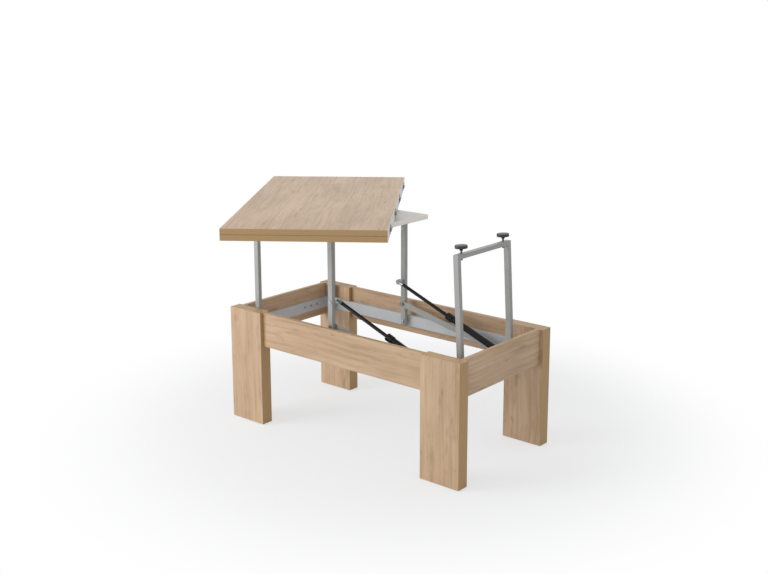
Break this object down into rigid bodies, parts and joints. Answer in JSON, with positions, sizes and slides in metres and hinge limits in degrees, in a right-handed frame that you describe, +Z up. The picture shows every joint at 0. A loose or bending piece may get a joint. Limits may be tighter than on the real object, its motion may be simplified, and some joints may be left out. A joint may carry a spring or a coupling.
{
  "type": "lift-top coffee and dining table",
  "caption": "Low table on plank legs whose folded top lifts on tube arms, swivels and opens to dining size over a fold-up support frame.",
  "frame": {"origin": "on the floor under the middle of the base", "axes": "+X along the base towards the support frame, -Y towards the front, +Z up"},
  "size_m": [1.3171, 1.1447, 0.7706],
  "materials": {
    "oak_melamine": "light oak melamine with matching edge band",
    "beech": "raw beech",
    "white_melamine": "white melamine",
    "silver_paint": "satin silver-grey paint",
    "zinc_steel": "zinc plated",
    "dark_hinge_steel": "dark grey",
    "black_paint": "black",
    "brown_plastic": "satin brown-black",
    "white_nylon": "plain",
    "felt": "felt"
  },
  "bodies": {
    "base": {"leg_front_left": "oak_melamine", "leg_front_right": "oak_melamine", "leg_rear_left": "oak_melamine", "leg_rear_right": "oak_melamine", "leg_glides": "white_nylon", "apron_front": "oak_melamine", "apron_rear": "oak_melamine", "apron_left": "oak_melamine", "apron_right": "oak_melamine", "apron_dowels": "beech", "rail_front": "silver_paint", "rail_rear": "silver_paint", "cross_rail_left": "silver_paint", "cross_rail_right": "silver_paint", "rail_screws": "zinc_steel", "arm_pivot_studs": "zinc_steel", "arm_pivot_bushes": "zinc_steel", "arm_pivot_nuts": "zinc_steel", "end_bracket_front": "silver_paint", "end_bracket_rear": "silver_paint", "gas_anchor_pins": "zinc_steel"},
    "arm_front_left": {"lift_arm_front_left": "silver_paint"},
    "arm_front_right": {"lift_arm_front_right": "silver_paint", "arm_bolts_front": "zinc_steel"},
    "arm_rear_left": {"lift_arm_rear_left": "silver_paint"},
    "arm_rear_right": {"lift_arm_rear_right": "silver_paint", "arm_bolts_rear": "zinc_steel"},
    "carrier": {"carrier_board": "white_melamine", "arm_brackets": "silver_paint", "bracket_pins": "zinc_steel", "bracket_screws": "zinc_steel", "felt_pads": "felt"},
    "support": {"support_frame": "silver_paint", "support_shaft": "silver_paint", "support_levers": "silver_paint", "lever_pins": "zinc_steel", "stud_inserts": "zinc_steel"},
    "leaf_lower": {"lower_leaf": "oak_melamine", "swivel_plate": "zinc_steel", "swivel_nut": "zinc_steel", "lower_leaf_screws": "zinc_steel", "hinge_halves_lower": "dark_hinge_steel", "hinge_pins": "zinc_steel"},
    "leaf_upper": {"upper_leaf": "oak_melamine", "hinge_halves_upper": "dark_hinge_steel", "upper_leaf_screws": "zinc_steel"},
    "link_front": {"link_front": "silver_paint", "link_pin_front": "zinc_steel"},
    "gas_cylinder_front": {"gas_cylinder_front": "black_paint"},
    "gas_rod_front": {"gas_rod_front": "black_paint"},
    "knob_front": {"levelling_knob_front": "brown_plastic", "levelling_stud_front": "zinc_steel"},
    "link_rear": {"link_rear": "silver_paint", "link_pin_rear": "zinc_steel"},
    "gas_cylinder_rear": {"gas_cylinder_rear": "black_paint"},
    "gas_rod_rear": {"gas_rod_rear": "black_paint"},
    "knob_rear": {"levelling_knob_rear": "brown_plastic", "levelling_stud_rear": "zinc_steel"}
  },
  "joints": [
    {"name": "lift", "type": "hinge", "parent": "base", "child": "arm_front_left", "pos_m": [-0.4195, -0.1895, 0.333], "axis": [0, 1, 0], "range_deg": [0, 84.29]},
    {"name": "arm_front_right_swing", "type": "hinge", "parent": "base", "child": "arm_front_right", "pos_m": [-0.071, -0.1895, 0.333], "axis": [0, 1, 0], "range_deg": [0, 84.29]},
    {"name": "arm_rear_left_swing", "type": "hinge", "parent": "base", "child": "arm_rear_left", "pos_m": [-0.4195, 0.1895, 0.333], "axis": [0, 1, 0], "range_deg": [0, 84.29]},
    {"name": "arm_rear_right_swing", "type": "hinge", "parent": "base", "child": "arm_rear_right", "pos_m": [-0.071, 0.1895, 0.333], "axis": [0, 1, 0], "range_deg": [0, 84.29]},
    {"name": "carrier_level", "type": "hinge", "parent": "arm_front_left", "child": "carrier", "pos_m": [-0.4195, -0.1895, 0.695], "axis": [0, 1, 0], "range_deg": [-84.29, 0]},
    {"name": "support_fold", "type": "hinge", "parent": "base", "child": "support", "pos_m": [0.42, 0, 0.338], "axis": [0, 1, 0], "range_deg": [-91.73, 0]},
    {"name": "link_front_swing", "type": "hinge", "parent": "arm_front_right", "child": "link_front", "pos_m": [-0.071, -0.1796, 0.399], "axis": [0, 1, 0], "range_deg": [-91.72, 0]},
    {"name": "gas_front_swing", "type": "hinge", "parent": "base", "child": "gas_cylinder_front", "pos_m": [0.389, -0.1595, 0.303], "axis": [0, 1, 0], "range_deg": [-13.15, 0]},
    {"name": "gas_front_stroke", "type": "slide", "parent": "gas_cylinder_front", "child": "gas_rod_front", "axis": [-0.9312, 0, 0.3644], "range_m": [-0.17999, 0]},
    {"name": "knob_front_screw", "type": "slide", "parent": "support", "child": "knob_front", "axis": [-0.057, 0, 0.9984], "range_m": [-0.004, 0.0025]},
    {"name": "link_rear_swing", "type": "hinge", "parent": "arm_rear_right", "child": "link_rear", "pos_m": [-0.071, 0.1796, 0.399], "axis": [0, 1, 0], "range_deg": [-91.72, 0]},
    {"name": "gas_rear_swing", "type": "hinge", "parent": "base", "child": "gas_cylinder_rear", "pos_m": [0.389, 0.1595, 0.303], "axis": [0, 1, 0], "range_deg": [-13.15, 0]},
    {"name": "gas_rear_stroke", "type": "slide", "parent": "gas_cylinder_rear", "child": "gas_rod_rear", "axis": [-0.9312, 0, 0.3644], "range_m": [-0.17999, 0]},
    {"name": "knob_rear_screw", "type": "slide", "parent": "support", "child": "knob_rear", "axis": [-0.057, 0, 0.9984], "range_m": [-0.004, 0.0025]},
    {"name": "top_swivel", "type": "hinge", "parent": "carrier", "child": "leaf_lower", "pos_m": [-0.3101, -0.0501, 0.732], "axis": [0, 0, 1], "range_deg": [-36.43, 53.57]},
    {"name": "leaf_open", "type": "hinge", "parent": "leaf_lower", "child": "leaf_upper", "pos_m": [-0.0877, 0.17632, 0.7513], "axis": [-0.5938, 0.8046, 0], "range_deg": [0, 180]}
  ],
  "couplings": [
    {"joint": "arm_front_right_swing", "follows": "lift", "ratio": 1},
    {"joint": "arm_rear_left_swing", "follows": "lift", "ratio": 1},
    {"joint": "arm_rear_right_swing", "follows": "lift", "ratio": 1},
    {"joint": "carrier_level", "follows": "lift", "ratio": -1},
    {"joint": "support_fold", "follows": "lift", "ratio": -1.0882},
    {"joint": "link_front_swing", "follows": "lift", "ratio": -1.0881},
    {"joint": "gas_front_swing", "follows": "lift", "ratio": -0.15595},
    {"joint": "gas_front_stroke", "follows": "lift", "m_per_rad": -0.12234},
    {"joint": "link_rear_swing", "follows": "lift", "ratio": -1.0881},
    {"joint": "gas_rear_swing", "follows": "lift", "ratio": -0.15595},
    {"joint": "gas_rear_stroke", "follows": "lift", "m_per_rad": -0.12234}
  ]
}
